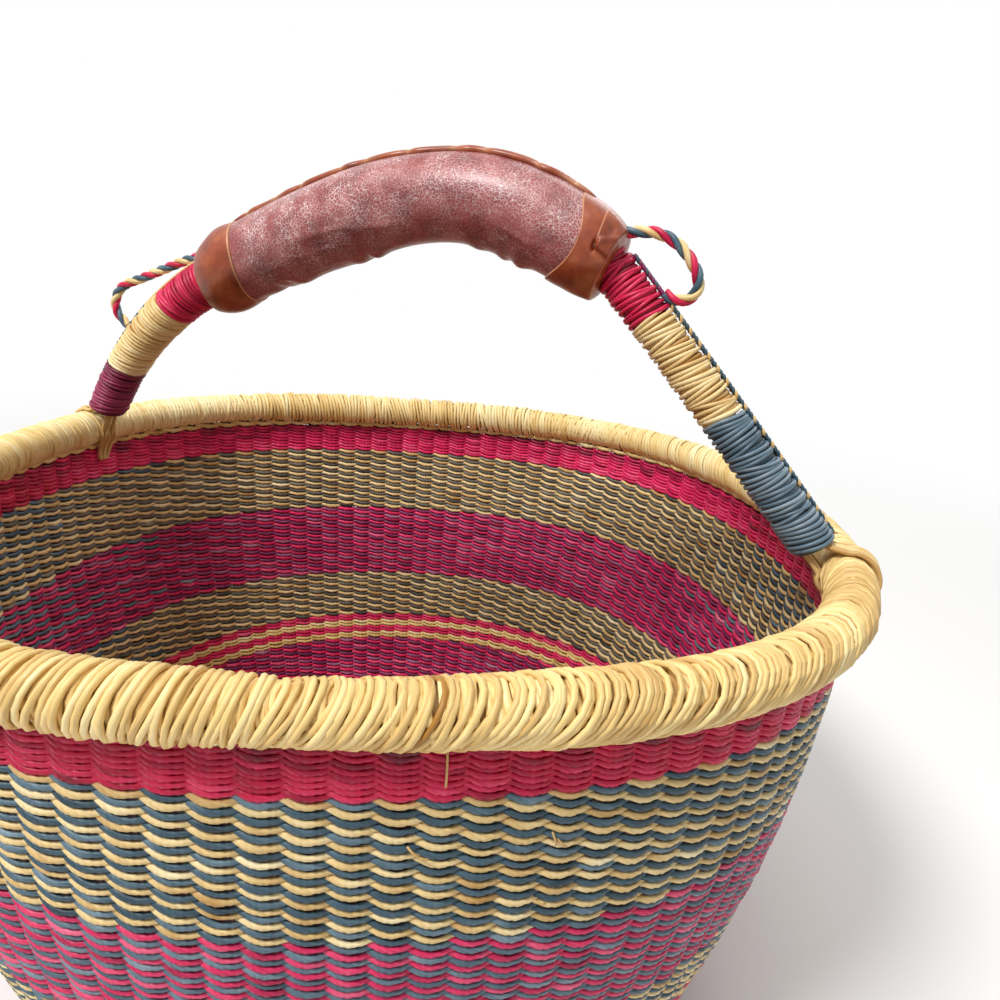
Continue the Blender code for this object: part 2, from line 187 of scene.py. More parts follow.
def straw_finish(name, dyes):
    """Dyed elephant grass, split and rolled: a satin skin with fine fibres along the straw, 0.3 mm apart and
    6 mm long, and a tone that drifts from straw to straw. dyes: one list of dark, middle and light hex for each
    look, which the attribute dye picks. Most looks are dyes; the wall finishes' second looks are painted light,
    a lighter pink copy of crimson, and painted shade, purple and smoky grey copies of blue-grey."""
    finish, tree, shader = new_material(name)
    place = node(tree, "UVMap", {}, uv_map="straw").outputs["UV"]
    fibres_place = node(tree, "Mapping", {"Vector": place, "Scale": (160, 3200, 1)}).outputs["Vector"]
    fibres = node(tree, "TexNoise", {"Vector": fibres_place, "Scale": 1, "Detail": 3}).outputs["Fac"]
    blotch_place = node(tree, "Mapping", {"Vector": place, "Scale": (90, 260, 1)}).outputs["Vector"]
    blotch = node(tree, "TexNoise", {"Vector": blotch_place, "Scale": 1, "Detail": 2}).outputs["Fac"]
    tone = node(tree, "Attribute", {}, attribute_name="tone").outputs["Fac"]
    fibre_tone = node(tree, "Math", {0: fibres, 1: 0.55, 2: tone}, operation="MULTIPLY_ADD").outputs[0]
    all_tone = node(tree, "Math", {0: blotch, 1: 0.45, 2: fibre_tone}, operation="MULTIPLY_ADD").outputs[0]
    level = node(tree, "Math", {0: all_tone, 1: 0.5}, operation="SUBTRACT").outputs[0]
    looks = [ramp(tree, level, ((0, dark), (0.5, middle), (1, light))) for dark, middle, light in dyes]
    base = looks[0]
    if len(dyes) > 1:
        # The attribute dye picks a look: a dye, and on the wall's far side a painted lit or shaded copy.
        dye = node(tree, "Attribute", {}, attribute_name="dye").outputs["Fac"]
        for number, look in enumerate(looks[1:]):
            over = node(tree, "Math", {0: dye, 1: number + 0.5}, operation="GREATER_THAN").outputs[0]
            mix = node(tree, "Mix", {"Factor": over, 6: base, 7: look}, data_type="RGBA")
            base = mix.outputs[2]
    tree.links.new(base, shader.inputs["Base Color"])
    for key, value in (("Roughness", 0.42), ("IOR", 1.45), ("Specular IOR Level", 0.45)):
        shader.inputs[key].default_value = value
    bump = node(tree, "Bump", {"Height": fibres, "Strength": 0.35, "Distance": 0.0002})
    tree.links.new(bump.outputs["Normal"], shader.inputs["Normal"])
    return finish


natural_dyes = ("#B07F3C", "#E9CA8C", "#FFF0C4")
crimson_dyes = ("#6A0420", "#CA1045", "#F04A74")
blue_dyes = ("#1E323D", "#3F5967", "#7C94A2")
faded_blue_dyes = ("#2C424E", "#5C7280", "#9AAAB4")
# Pink, purple and smoke are painted light and shade: the second looks of the wall's finishes on the far side,
# seen from inside. Purple is also a real dye in the right plait.
purple_dye_and_painted_shade_tones = ("#54123A", "#8A3566", "#B87C9E")
painted_smoky_shade_tones = ("#33342E", "#66635A", "#9A9480")
painted_light_pink_tones = ("#8A0A38", "#E82564", "#F8709A")
wine_dyes = ("#3E0820", "#861A44", "#B24A70")
bright_dyes = ("#8A0A38", "#DC2A60", "#F27896")
golden_dyes = ("#A5722B", "#EFCF89", "#FFF3C2")
natural_straw = straw_finish("natural_elephant_grass", [natural_dyes])
crimson_straw = straw_finish("crimson_dyed_elephant_grass", [crimson_dyes, painted_light_pink_tones])
bright_straw = straw_finish("bright_crimson_elephant_grass", [bright_dyes, painted_light_pink_tones])
wine_straw = straw_finish("wine_dyed_elephant_grass", [wine_dyes])
blue_straw = straw_finish("faded_blue_grey_elephant_grass", [faded_blue_dyes])
blue_grey_and_painted_purple_shade_straw = straw_finish("blue_grey_elephant_grass_with_painted_purple_shade", [faded_blue_dyes, purple_dye_and_painted_shade_tones])
blue_grey_and_painted_smoky_shade_straw = straw_finish("blue_grey_elephant_grass_with_painted_smoky_shade", [blue_dyes, painted_smoky_shade_tones])
golden_straw = straw_finish("golden_elephant_grass", [golden_dyes])
cord_straw = straw_finish("three_dye_straw_cord", [blue_dyes, crimson_dyes, natural_dyes])
chance = np.random.default_rng(7)

strand_number = np.arange(3)[:, None]
for side, route in cord_routes.items():
    knots = np.array([(x, 0, z) for x, z in route])
    line = smooth_path(knots, 8)
    along = np.pad(np.cumsum(np.linalg.norm(np.diff(line, axis=0), axis=1)), (1, 0))
    across = np.broadcast_to((0.0, 1.0, 0.0), line.shape)
    square = unit(np.cross(unit(np.gradient(line, axis=0)), across))
    lay = 2 * np.pi * (along / CORD_LAY + strand_number / 3)[..., None]
    strands = line + (square * np.cos(lay) - across * np.sin(lay)) * CORD_DIAMETER * STRAND_OFFSET
    tone = 0.5 + 0.12 * np.sin(along * 700 + strand_number * 2)
    rings = ring(strands, strands - line, STRAND_HIGH * CORD_DIAMETER, STRAND_WIDE * CORD_DIAMETER, 10)
    loop = lofted("cord_loop_" + side + "_strands", rings, cord_straw, "three_colour_cord", tone=tone,
                  dye=strand_number + 0 * along)
    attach(loop, "handle")
    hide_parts("cord_loop_" + side)

# Stage: a pale floor that fades into a white surround, and soft studio lamps over the camera's left shoulder,
# overhead and behind, turned to the basket's middle. The surround lights the basket at less than the strength
# at which it is seen.
FADE_START = 0.35
FADE_END = 1.3
SURROUND_LIGHT = 0.38
LIT_SPOT = Vector((0, 0, 0.15))
floor_mesh = bpy.data.meshes.new("floor")
floor_mesh.from_pydata([(-4, -4, 0), (4, -4, 0), (4, 4, 0), (-4, 4, 0)], [], [(0, 1, 2, 3)])
floor = bpy.data.objects.new("floor", floor_mesh)
bpy.context.scene.collection.objects.link(floor)
paper, tree, shader = new_material("white_paper")
shader.inputs["Base Color"].default_value = colour("#F4F3F1")
shader.inputs["Roughness"].default_value = 0.9
clear = node(tree, "BsdfTransparent", {}).outputs[0]
place = node(tree, "TexCoord", {}).outputs["Object"]
distance = node(tree, "VectorMath", {0: place}, operation="LENGTH").outputs["Value"]
fade = node(tree, "MapRange", {"Value": distance, "From Min": FADE_START, "From Max": FADE_END},
            interpolation_type="SMOOTHSTEP")
blend = node(tree, "MixShader", {0: fade.outputs[0], 1: shader.outputs[0], 2: clear})
tree.links.new(blend.outputs[0], tree.nodes["Material Output"].inputs["Surface"])
floor_mesh.materials.append(paper)

world = bpy.data.worlds.new("studio")
bpy.context.scene.world = world
world.use_nodes = True
tree = world.node_tree
ray = node(tree, "LightPath", {}).outputs
seen = node(tree, "Math", {0: ray["Is Camera Ray"], 1: ray["Is Glossy Ray"]}, operation="MAXIMUM").outputs[0]
strength = node(tree, "MapRange", {"Value": seen, "To Min": SURROUND_LIGHT, "To Max": 1.0}).outputs[0]
tree.links.new(strength, tree.nodes["Background"].inputs["Strength"])
tree.nodes["Background"].inputs["Color"].default_value = colour("#FFFFFF")
for name, spot, watts, size in (("key", (-0.4, -0.9, 1.5), 25, 0.5), ("top", (0.1, -0.2, 1.6), 3.5, 0.7),
                                ("back", (0.1, 1.2, 1.2), 6, 0.9)):
    lamp = bpy.data.objects.new(name, bpy.data.lights.new(name, "AREA"))
    lamp.data.energy = watts
    lamp.data.shape = "DISK"
    lamp.data.size = size
    lamp.location = spot
    lamp.rotation_euler = (LIT_SPOT - Vector(spot)).to_track_quat("-Z", "Y").to_euler()
    bpy.context.scene.collection.objects.link(lamp)

# Stakes and twining: upright straws, about 10 mm apart, and pairs of dyed straws twisted round each other and
# round every stake, row on row down the wall in one spiral, so that each dye shows on every other stake. The
# basket is handmade: seen from above its wall is a little square, by up to 7 mm at the rim.
# Its line is the solids': a flat floor, a round corner and a flared side. SPREAD marks how far chance goes.
STAKES = 105
SWING = 0.00122
SWING_SPREAD = 0.06
LIFT = 0.00045
STITCH_LIFT_SPREAD = 0.00007
ROW_LIFT_SPREAD = 0.00012
SAG = 0.00050
THIN = 0.00072
BROAD = 0.00102
FAT_SPREAD = 0.11
TONE_SPREAD = 0.15
ROW_TONE_SPREAD = 0.09
RIM_RISE = 0.0012
FRONT_RISE = 0.0048
FRONT_TURN = 5.1
PAINTED_SIDE_TURN = 1.9
PAINTED_SIDE_SPREAD = 0.3
# Painted shade: the rim's shadow, laid into the tone of the top crimson rows.
TOP_ROWS_PAINTED_SHADE = 0.065
WALL = 0.004
FLARE = 0.034
CORNER = 0.016
RIM_CLEARANCE = 0.0003
RIM_OVERHANG = 0.001
UP = np.array((0.0, 0.0, 1.0))
FRONT = np.array((0.0, -1.0, 0.0))
rim_low, rim_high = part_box("rim_binding")
rim_tube = (rim_high.z - rim_low.z) / 2
rim_level = (rim_high.z + rim_low.z) / 2
rim_reach = rim_high.x - rim_tube
wall_top = rim_low.z - RIM_CLEARANCE
wall_reach = rim_reach - RIM_OVERHANG
wall_lean = math.atan(2 * FLARE / wall_top * (1 - CORNER / wall_top))
corner_top = WALL / 2 + CORNER * (1 - math.sin(wall_lean))
floor_reach = wall_reach - FLARE * (1 - corner_top / wall_top) ** 2 - CORNER * math.cos(wall_lean)
corner_turn = np.linspace(math.pi / 2, wall_lean, 24)
wall_height = np.linspace(corner_top, wall_top + 0.006, 120)[1:]
line_radius = np.concatenate([[0], floor_reach + CORNER * np.cos(corner_turn),
                              wall_reach - FLARE * (1 - np.minimum(wall_height / wall_top, 1)) ** 2])
line_height = np.concatenate([[WALL / 2], WALL / 2 + CORNER * (1 - np.sin(corner_turn)), wall_height])
line_length = np.pad(np.cumsum(np.hypot(np.diff(line_radius), np.diff(line_height))), (1, 0))
floor_length = line_length[1]


def out_of_round(turn):
    """How far the rim stands out from its circle: low sines and cosines of the turn, none at the handle."""
    millimetres = (-0.77 * (np.cos(2 * turn) - 1) + 1.9 * np.sin(2 * turn) + 0.93 * np.sin(3 * turn)
                   + 1.16 * (np.cos(4 * turn) - 1) - 5.45 * np.sin(4 * turn))
    return millimetres / 1000


def on_wall(turn, length, out=0, up=0):
    """A point of the woven shell: turn round the basket and length up from the floor's centre, moved out from
    the surface and up along it. The wall's line gives radius and height, and the out-of-round share grows with
    height."""
    radius, next_radius, last_radius = (np.interp(length + step, line_length, line_radius)
                                        for step in (0, 0.002, -0.002))
    height, next_height, last_height = (np.interp(length + step, line_length, line_height)
                                        for step in (0, 0.002, -0.002))
    rise = next_height - last_height
    reach = next_radius - last_radius
    slope = np.hypot(rise, reach)
    rise, reach = rise / slope, reach / slope
    radius = radius + out_of_round(turn) * height / rim_level + out * rise + up * reach
    height = height - out * reach + up * rise
    return np.stack([radius * np.cos(turn), radius * np.sin(turn), height], -1)


def rim_rise(turn, length):
    """How far a row is pushed up: 1.2 mm under the rim all round, and at the front, where the rim hangs low
    over the wall, most at the foot of the crimson band, falling to none at the foot of the band below it and
    to about half under the rim."""
    below = line_length[-1] - length

    def grown(start, run):
        return np.clip((start - below) / run, 0, 1)

    front_share = np.clip(0.75 + 0.75 * np.cos(turn - FRONT_TURN), 0, 1) ** 2
    band_share = grown(0.060, 0.036) - 0.45 * grown(0.024, 0.018)
    return RIM_RISE * grown(0.023, 0.016) + FRONT_RISE * front_share * band_share


def wander(count, spread):
    """Chance values for stitch after stitch."""
    return chance.normal(0, spread, count)


def twined(name, first, last, row_lengths, stakes, phases, finish, slot, steps, around=6, size=1.0,
           shade=0.0):
    """Straws of one dye, in rows first to last. With w = stakes turn / 2 + phase, a straw swings out by cos w,
    drops by sin w and sags by cos^2 w, so that it lies slanting over one stake and under the next; its flat
    section turns with w, and is fuller by 0.3 sin^2 w where two straws cross. Chance makes each stitch a little
    fatter or lighter, and sets where a finish's second look takes over, on the +Y half of the basket, the far
    side, seen from inside: for crimson a lighter pink, painted light, and for blue-grey purple in the wine
    bands and smoky grey in the grey bands, painted shade. Shade is painted shade, the rim's shadow: it darkens
    the colour of the first five rows under the rim, most at the top."""
    count = round((last - first) * stakes * steps) + 1
    turn = 2 * np.pi * np.linspace(first, last, count)
    row = turn / (2 * np.pi)
    length = np.interp(row, np.arange(len(row_lengths)), row_lengths)
    length = length + rim_rise(turn, length)
    w = stakes * turn / 2 + np.asarray(phases)[:, None]
    stitch = (w - w.min()) / np.pi
    knots = np.arange(int(stitch.max()) + 3)

    def varied(spread, every=1):
        places = knots[:len(knots) // every + 3]
        return np.stack([np.interp(straw / every, places, wander(len(places), spread)) for straw in stitch])

    out = SWING * np.cos(w) * (1 + varied(SWING_SPREAD))
    up = -LIFT * np.sin(w) - SAG * np.cos(w) ** 2 + varied(STITCH_LIFT_SPREAD) + varied(ROW_LIFT_SPREAD, 9)
    fat = size * (1 + varied(FAT_SPREAD))
    centre = on_wall(turn, length, out, up)
    outward = unit(on_wall(turn, length, out + 0.001, up) - centre)
    upward = unit(on_wall(turn, length, out, up + 0.001) - centre)
    cos_w, sin_w = np.cos(w)[..., None], np.sin(w)[..., None]
    thin = (cos_w * outward - sin_w * upward) * (THIN * fat * (1 + 0.3 * np.sin(w) ** 2))[..., None]
    broad = (sin_w * outward + cos_w * upward) * (BROAD * fat)[..., None]
    q = (2 * np.pi * np.arange(around) / around)[:, None]
    rings = centre[..., None, :] + broad[..., None, :] * np.cos(q) + thin[..., None, :] * np.sin(q)
    # The last term is painted shade: the rim's shadow, darkest on the first rows.
    tone = 0.50 + varied(TONE_SPREAD) + varied(ROW_TONE_SPREAD, 61) - shade * np.clip(6 - row, 0, 5)
    # Where each wall finish's second look takes over: painted light for crimson, painted shade for blue-grey.
    painted_side = np.cos(turn - PAINTED_SIDE_TURN) + varied(PAINTED_SIDE_SPREAD, 5) > 0.1
    piece = lofted(name, rings, finish, slot, tone=tone, dye=painted_side.astype(float))
    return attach(piece, "basket")


# Each band's node, its rows, its slot and the points of a straw from one stake to the next; the dyes of a slot
# with the phase of each straw; and the length up the wall at which each row starts, from the rim down.
bands = (("wall_straw_top", 1, "natural_straw", 6), ("wall_crimson_top", 8, "crimson_straw", 6),
         ("wall_grey_high", 18, "straw_and_blue_grey", 6), ("wall_wine_high", 20, "wine_straw", 6),
         ("wall_grey_low", 13, "straw_and_blue_grey", 5), ("wall_crimson_line_high", 2, "crimson_straw", 4),
         ("wall_straw_line_high", 2, "natural_straw", 4), ("wall_crimson_line_low", 2, "crimson_straw", 4),
         ("wall_straw_line_low", 2, "natural_straw", 4), ("wall_wine_low", 27, "wine_straw", 4))
dyes_of = {"natural_straw": (("straw", golden_straw, (0, np.pi)),),
           "crimson_straw": (("crimson", crimson_straw, (0, np.pi)),),
           "straw_and_blue_grey": (("straw", natural_straw, (0,)), ("blue", blue_grey_and_painted_smoky_shade_straw, (np.pi,))),
           "wine_straw": (("crimson", bright_straw, (0,)), ("blue", blue_grey_and_painted_purple_shade_straw, (np.pi,)))}
row_lengths = []
for band, rows, *_ in bands:
    foot, top = (np.interp(corner.z, line_height, line_length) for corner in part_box(band))
    foot = max(floor_length, foot)
    row_lengths.extend(top + (foot - top) * np.arange(rows) / rows)
row_lengths.append(floor_length)
row_lengths = np.array(row_lengths)
row = 0
for band, rows, slot, steps in bands:
    for dye, finish, phases in dyes_of[slot]:
        size = 1.25 if band == "wall_straw_top" else 1.0
        shade = TOP_ROWS_PAINTED_SHADE if band == "wall_crimson_top" else 0.0
        piece = twined(band + "_" + dye, row, row + rows, row_lengths, STAKES, phases, finish, slot, steps,
                       size=size, shade=shade)
        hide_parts(band)
    row += rows

# Floor: the same twining in natural straw, spiralling in to the middle, with fewer stakes as the circle
# closes: each zone's stakes, and how far from the centre it ends. A coil fills the middle.
FLOOR_ROW = 0.00195
COIL_TURNS = 3.5
COIL_START = 0.0072
COIL_PITCH = 0.0018
zone = floor_length
for number, (stakes, inner) in enumerate(((105, 0.080), (53, 0.041), (27, 0.020), (13, 0.006))):
    rows = round((zone - inner) / FLOOR_ROW)
    floor_rows = zone + (inner - zone) * np.arange(rows + 1) / rows
    piece = twined(f"floor_twining_{number + 1}", 0, rows, floor_rows, stakes, (0, np.pi), natural_straw,
                   "natural_straw", 3, around=5)
    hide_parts("base")
    zone = inner
turns = np.linspace(0, COIL_TURNS, 90)[None]
coil = on_wall(2 * np.pi * turns, COIL_START - COIL_PITCH * turns)
rings = ring(coil, np.broadcast_to(UP, coil.shape), 0.0012, 0.0010, 6)
start = lofted("floor_start_coil", rings, natural_straw, "natural_straw", tone=0.5 + 0 * turns)
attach(start, "basket")
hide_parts("base")

# Loose ends: where a new straw was worked in, its end stands out of the twining by a few millimetres, and one
# thin end hangs down over the crimson rows. For each: its turn, its drop below the wall's top, and how far it
# falls and drifts sideways.
loose = np.array([(5.268, 0.006, 0.0080, 0.0000), (5.222, 0.029, 0.0025, 0.0030),
                  (5.232, 0.031, 0.0010, 0.0032), (5.424, 0.028, 0.0032, 0.0010),
                  (5.432, 0.030, 0.0020, 0.0022), (5.410, 0.047, 0.0010, 0.0028)])
share = np.linspace(0, 1, 8)[None]
from_turn, drop, fall, drift = (column[:, None] for column in loose.T)
standing_out = 0.0017 + 0.0009 * np.sin(2.4 * share)
ends = on_wall(from_turn + drift * share / rim_reach, line_length[-1] - drop - fall * share, standing_out)
rings = ring(ends, ends * (1.0, 1.0, 0.0), 0.00022, 0.00028, 6)
loose_piece = lofted("loose_straw_ends", rings, natural_straw, "natural_straw", tone=0.25 + 0 * (share + drop))
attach(loose_piece, "basket")

# Upright stakes: flat bundles from the floor to the rim, hidden by the twining but seen through its gaps. Their
# colour is a dark red-brown, painted shade for the gaps they lie in.
STAKE_START = 0.070
STAKE_THICK = 0.0008
STAKE_WIDE = 0.0037
# Painted shade: the stakes' natural straw is coloured as dark as the shade in the twining's gaps.
painted_shade_stake_tones = ("#240A10", "#4E2A24", "#7A5236")
painted_shade_stake_straw = straw_finish("elephant_grass_darkened_with_painted_shade", [painted_shade_stake_tones])
turn = 2 * np.pi * np.arange(STAKES)[:, None] / STAKES
length = np.linspace(STAKE_START, line_length[-1] - 0.001, 40)[None] + 0 * turn
upright = on_wall(turn, length)
outward = on_wall(turn, length, out=0.001) - upright
stakes_piece = lofted("upright_stakes", ring(upright, outward, STAKE_THICK, STAKE_WIDE, 6), painted_shade_stake_straw,
                      "natural_straw", tone=0.4 + 0.1 * chance.normal(size=(STAKES, 1)) + 0 * length)
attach(stakes_piece, "basket")

# Rim: the stakes are turned down into a bundle along the top edge, and natural straw is bound round and round
# it in two layers. The binding leans, each turn at its own angle and most on the right, bunches where turns
# ride over each other, and is drawn in at one spot in front.
RIM_TURNS = 560
TURN_POINTS = 16
BUNDLE_SHARE = 0.68
STRAW_HIGH = 0.00072
LEAN_TURN = 6.0
LEAN_SPREAD = 0.0008
SLOW_LEAN_SPREAD = 0.0004
SLIP_SPREAD = 0.00025
LUMP_SPREAD = 0.00025
PINCH_TURN = 5.07
PINCH_DEPTH = 0.0006
PINCH_REACH = 0.10
DARK_LEAN_SHARE = 0.16
# Painted light: the binding's colour is made lighter towards the far side, away from NEAR_TURN.
FAR_SIDE_PAINTED_LIGHT = 0.07
NEAR_TURN = 5.0


def rim_line(turn):
    """The rim's middle line: its circle with the out-of-round share."""
    radius = rim_reach + out_of_round(turn)
    return np.stack([radius * np.cos(turn), radius * np.sin(turn), rim_level + 0 * turn], -1)


turn = np.linspace(0, 2 * np.pi, 241)[None]
bundle = rim_line(turn)
bundle_size = rim_tube * BUNDLE_SHARE
core = lofted("rim_bundle", ring(bundle, np.broadcast_to(UP, bundle.shape), bundle_size, bundle_size, 16),
              natural_straw, "natural_straw", tone=0.25 + 0 * turn)
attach(core, "basket")
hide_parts("rim_binding")

wraps = np.linspace(0, RIM_TURNS, RIM_TURNS * TURN_POINTS + 1)


def by_turn(spread, every=1):
    """Chance values that drift from turn to turn."""
    places = np.arange(int(RIM_TURNS / every) + 3) * every
    return np.interp(wraps, places, wander(len(places), spread))


bind = 2 * np.pi * wraps
for layer, offset, depth, least_lean, more_lean, wide in (("under", 0.5, 0.0019, -0.0016, -0.0006, 0.00095),
                                                          ("over", 0, 0.0009, 0.0014, 0.0070, 0.00082)):
    advance = 2 * np.pi * (wraps + offset) / RIM_TURNS
    leaning = (0.5 + 0.5 * np.cos(advance - LEAN_TURN)) ** 6
    lean = least_lean + more_lean * leaning + by_turn(LEAN_SPREAD) + by_turn(SLOW_LEAN_SPREAD, 9)
    turn = advance + (lean * np.sin(bind + 0.3) + by_turn(SLIP_SPREAD)) / rim_reach
    lumps = by_turn(0.00024, 0.25) + by_turn(LUMP_SPREAD, 13) + by_turn(LUMP_SPREAD, 41)
    pinch = PINCH_DEPTH * np.exp(-((advance - PINCH_TURN) / PINCH_REACH) ** 2)
    reach = rim_tube - depth + np.clip(lumps, -0.0007, 0.0008) - pinch
    spoke = np.stack([np.cos(turn), np.sin(turn), 0 * turn], -1)
    away = spoke * np.cos(bind)[:, None] + UP * np.sin(bind)[:, None]
    strand = (rim_line(turn) + away * reach[:, None])[None]
    # Painted light: a lighter tone on the far side of the rim.
    painted_far_light = FAR_SIDE_PAINTED_LIGHT * (1 - np.cos(advance - NEAR_TURN))
    tone = 0.50 + by_turn(0.12) + by_turn(0.08, 12) + painted_far_light - DARK_LEAN_SHARE * leaning
    rings = ring(strand, away[None], STRAW_HIGH * (1 + by_turn(0.08)), wide * (1 + by_turn(0.10)), 7)
    binding = lofted("rim_binding_" + layer, rings, golden_straw, "natural_straw", tone=tone[None])
    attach(binding, "basket")
    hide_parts("rim_binding")

# Handle: one bundle of straw from rim to rim. Its grip is two even slopes that meet in a rounded crown, and its
# two legs run down to the rim; the sizes are the solids'.
GRIP_LEFT = -0.0925
GRIP_RIGHT = 0.0728
CROWN_PLACE = 0.0257
CROWN_LIFT = 0.1388
CROWN_ROUNDING = 0.0499
GRIP_SLOPE = 0.656
GRIP_LEAN = -0.127
GRIP_RADIUS = 0.0156
GRIP_TAPER = 0.0017
WAIST_DEPTH = 0.0010
WAIST_PLACE = 0.006
WAIST_REACH = 0.020
COLLAR_LENGTH = 0.020
grip_middle = (GRIP_LEFT + GRIP_RIGHT) / 2
grip_half = (GRIP_RIGHT - GRIP_LEFT) / 2
collar_run = COLLAR_LENGTH / math.hypot(1, GRIP_SLOPE)
sleeve_left = GRIP_LEFT + collar_run
sleeve_right = GRIP_RIGHT - collar_run


def grip_slope(place):
    """The slope of the grip's line: lean - slope (x - crown) / hypot(x - crown, rounding)."""
    return GRIP_LEAN - GRIP_SLOPE * (place - CROWN_PLACE) / np.hypot(place - CROWN_PLACE, CROWN_ROUNDING)


def grip_surface(place, q, radius):
    """A point round the grip's line at a place along X: q round from the top to the front, at a radius."""
    away = place - CROWN_PLACE
    height = rim_level + CROWN_LIFT + GRIP_LEAN * away - GRIP_SLOPE * np.hypot(away, CROWN_ROUNDING)
    centre = np.stack([place, 0 * place, height], -1)
    up = unit(np.stack([-grip_slope(place), 0 * place, 1 + 0 * place], -1))
    return centre + (up * np.cos(q)[..., None] + FRONT * np.sin(q)[..., None]) * radius[..., None]


def sleeve_radius(place):
    """The leather's radius: it tapers with the square of the distance from its middle, to a slight waist."""
    waist = WAIST_DEPTH * np.exp(-((place - WAIST_PLACE) / WAIST_REACH) ** 2)
    return GRIP_RADIUS - GRIP_TAPER * ((place - grip_middle) / grip_half) ** 2 - waist


CUT_SKIN = "#E0AC80"


def leather_finish(name, skin, haze, crackle, crackle_share, sheen, coat, pebbles):
    """Vegetable tanned goatskin, glazed: a soft mottle about 8 mm across, a grain of 0.5 mm pebbles, and where
    the glaze has cracked a haze and a web of fine pale lines 1 mm apart. The attribute wear says how cracked
    the glaze is, and the attribute edge where the skin is cut and pale."""
    finish, tree, shader = new_material(name)
    place = node(tree, "UVMap", {}, uv_map="straw").outputs["UV"]
    mottle = node(tree, "TexNoise", {"Vector": place, "Scale": 110, "Detail": 5, "Roughness": 0.6})
    wear = node(tree, "Attribute", {}, attribute_name="wear").outputs["Fac"]
    edge = node(tree, "Attribute", {}, attribute_name="edge").outputs["Fac"]
    dark, middle, light = skin
    base = ramp(tree, mottle.outputs["Fac"], ((0.25, dark), (0.52, middle), (0.8, light)))
    warp = node(tree, "TexNoise", {"Vector": place, "Scale": 700, "Detail": 2}).outputs["Color"]
    moved = node(tree, "VectorMath", {0: warp, 1: (0.0012, 0.0012, 0), 2: place}, operation="MULTIPLY_ADD")
    web = node(tree, "TexVoronoi", {"Vector": moved.outputs[0], "Scale": 980}, feature="DISTANCE_TO_EDGE")
    lines = node(tree, "MapRange", {"Value": web.outputs["Distance"], "From Min": 0.02, "From Max": 0.08,
                                    "To Min": 1.0, "To Max": 0.0}).outputs[0]
    patch = node(tree, "TexNoise", {"Vector": place, "Scale": 85, "Detail": 4, "Roughness": 0.65})
    patchy = node(tree, "MapRange", {"Value": patch.outputs["Fac"], "From Min": 0.38, "From Max": 0.62})
    worn = node(tree, "Math", {0: patchy.outputs[0], 1: wear}, operation="MULTIPLY").outputs[0]
    hazy = node(tree, "Math", {0: worn, 1: crackle_share * 0.28}, operation="MULTIPLY").outputs[0]
    dulled = node(tree, "Mix", {"Factor": hazy, 6: base, 7: colour(haze)}, data_type="RGBA").outputs[2]
    amount = node(tree, "Math", {0: worn, 1: 0.88, 2: 0.12}, operation="MULTIPLY_ADD").outputs[0]
    drawn = node(tree, "Math", {0: amount, 1: lines}, operation="MULTIPLY").outputs[0]
    shown = node(tree, "Math", {0: drawn, 1: crackle_share}, operation="MULTIPLY").outputs[0]
    cracked = node(tree, "Mix", {"Factor": shown, 6: dulled, 7: colour(crackle)}, data_type="RGBA").outputs[2]
    edged = node(tree, "Mix", {"Factor": edge, 6: cracked, 7: colour(CUT_SKIN)}, data_type="RGBA").outputs[2]
    tree.links.new(edged, shader.inputs["Base Color"])
    for key, value in (("Roughness", 0.38), ("IOR", 1.5), ("Specular IOR Level", sheen),
                       ("Coat Weight", coat), ("Coat Roughness", 0.2)):
        shader.inputs[key].default_value = value
    grain = node(tree, "TexVoronoi", {"Vector": place, "Scale": 1700}).outputs["Distance"]
    height = node(tree, "Math", {0: lines, 1: 0.4, 2: grain}, operation="MULTIPLY_ADD").outputs[0]
    bump = node(tree, "Bump", {"Height": height, "Strength": pebbles, "Distance": 0.0002})
    tree.links.new(bump.outputs["Normal"], shader.inputs["Normal"])
    return finish


maroon_leather = leather_finish("glazed_maroon_goatskin", ("#5F1C1E", "#8C3836", "#B0605A"), "#D79CA0",
                                "#FFEFEA", crackle_share=0.95, sheen=0.5, coat=0.12, pebbles=0.30)
tan_leather = leather_finish("tan_goatskin", ("#5E1E0E", "#944322", "#B66C42"), "#AD6A3E", "#C98F60",
                             crackle_share=0.06, sheen=0.35, coat=0.15, pebbles=0.03)

# Leather sleeve: one piece of skin round the straw, tucked under both collars and closed by the seam on top. It
# wrinkles along its underside. Each wrinkle has its place along X in millimetres, its place round the grip, its
# height and its reach along and round.
TUCK_LEFT = 0.003
TUCK_RIGHT = 0.011
wrinkles = ((47, 2.85, 0.0014, 3.0, 0.45), (39, 3.20, 0.0010, 2.5, 0.35), (27, 3.05, 0.0007, 3.5, 0.4),
            (-18, 2.90, 0.0013, 2.2, 0.35), (-27, 3.10, 0.0007, 3.0, 0.4), (-51, 2.75, 0.0016, 4.0, 0.5),
            (-62, 3.10, -0.0010, 2.2, 0.5), (-38, 2.30, 0.0005, 14.0, 0.10), (-30, 1.90, 0.0004, 12.0, 0.08),
            (-8, 2.15, 0.0005, 10.0, 0.09), (-45, 2.65, 0.0005, 16.0, 0.10), (44, 2.00, 0.0004, 8.0, 0.08))
place, q = np.meshgrid(np.linspace(sleeve_left - TUCK_LEFT, sleeve_right + TUCK_RIGHT, 211),
                       2 * np.pi * np.arange(120) / 120, indexing="ij")
along = place * 1000
under = (0.5 - 0.5 * np.cos(q)) ** 2
swell = (0.00016 * np.sin(0.21 * along + 2.0 * np.sin(2 * q)) * under
         + 0.00012 * np.sin(0.11 * along + 3 * q + 1))
for spot, round_spot, rise, long_reach, round_reach in wrinkles:
    bend = q - round_spot - 0.006 * (along - spot)
    swell += rise * np.exp(-((along - spot) / long_reach) ** 2 - (bend / round_reach) ** 2)
